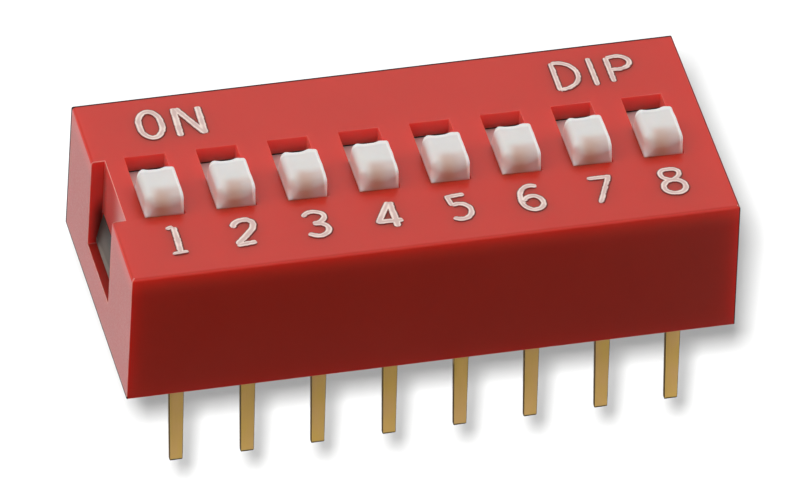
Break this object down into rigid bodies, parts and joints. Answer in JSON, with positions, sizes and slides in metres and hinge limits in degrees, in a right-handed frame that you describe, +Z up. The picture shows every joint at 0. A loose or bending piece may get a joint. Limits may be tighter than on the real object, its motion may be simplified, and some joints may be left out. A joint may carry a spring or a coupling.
{
  "type": "dip switch",
  "caption": "Bank of miniature slide switches in a dual in-line package: box cover with a row of slots, raised sliding knobs, end notch and two rows of straight board pins.",
  "frame": {"origin": "centre of the seating plane, which is the cover's bottom rim where it meets the board", "axes": "+X along the bank from the first switch (notched end) to the last, +Y from the numbered side to the ON side, +Z up through the knobs"},
  "size_m": [0.0218, 0.0098, 0.01],
  "materials": {
    "cover_plastic": "red moulded plastic, satin gloss",
    "actuator_plastic": "white moulded plastic, smooth",
    "base_plastic": "dark grey glass-filled plastic, dull gloss",
    "terminal_gold": "gold-plated brass strip, brushed along its length",
    "spring_gold": "gold-plated spring strip",
    "legend_ink": "pale raised legend ink, satin"
  },
  "bodies": {
    "housing": {"cover": "cover_plastic", "base": "base_plastic", "front_terminal_1": "terminal_gold", "front_terminal_2": "terminal_gold", "front_terminal_3": "terminal_gold", "front_terminal_4": "terminal_gold", "front_terminal_5": "terminal_gold", "front_terminal_6": "terminal_gold", "front_terminal_7": "terminal_gold", "front_terminal_8": "terminal_gold", "rear_terminal_1": "terminal_gold", "rear_terminal_2": "terminal_gold", "rear_terminal_3": "terminal_gold", "rear_terminal_4": "terminal_gold", "rear_terminal_5": "terminal_gold", "rear_terminal_6": "terminal_gold", "rear_terminal_7": "terminal_gold", "rear_terminal_8": "terminal_gold"},
    "switch_1": {"actuator_1": "actuator_plastic", "spring_contact_1": "spring_gold"},
    "switch_2": {"actuator_2": "actuator_plastic", "spring_contact_2": "spring_gold"},
    "switch_3": {"actuator_3": "actuator_plastic", "spring_contact_3": "spring_gold"},
    "switch_4": {"actuator_4": "actuator_plastic", "spring_contact_4": "spring_gold"},
    "switch_5": {"actuator_5": "actuator_plastic", "spring_contact_5": "spring_gold"},
    "switch_6": {"actuator_6": "actuator_plastic", "spring_contact_6": "spring_gold"},
    "switch_7": {"actuator_7": "actuator_plastic", "spring_contact_7": "spring_gold"},
    "switch_8": {"actuator_8": "actuator_plastic", "spring_contact_8": "spring_gold"}
  },
  "joints": [
    {"name": "slide_1", "type": "slide", "parent": "housing", "child": "switch_1", "axis": [0, 1, 0], "range_m": [0, 0.00149]},
    {"name": "slide_2", "type": "slide", "parent": "housing", "child": "switch_2", "axis": [0, 1, 0], "range_m": [0, 0.00149]},
    {"name": "slide_3", "type": "slide", "parent": "housing", "child": "switch_3", "axis": [0, 1, 0], "range_m": [0, 0.00149]},
    {"name": "slide_4", "type": "slide", "parent": "housing", "child": "switch_4", "axis": [0, 1, 0], "range_m": [0, 0.00149]},
    {"name": "slide_5", "type": "slide", "parent": "housing", "child": "switch_5", "axis": [0, 1, 0], "range_m": [0, 0.00149]},
    {"name": "slide_6", "type": "slide", "parent": "housing", "child": "switch_6", "axis": [0, 1, 0], "range_m": [0, 0.00149]},
    {"name": "slide_7", "type": "slide", "parent": "housing", "child": "switch_7", "axis": [0, 1, 0], "range_m": [0, 0.00149]},
    {"name": "slide_8", "type": "slide", "parent": "housing", "child": "switch_8", "axis": [0, 1, 0], "range_m": [0, 0.00149]}
  ]
}
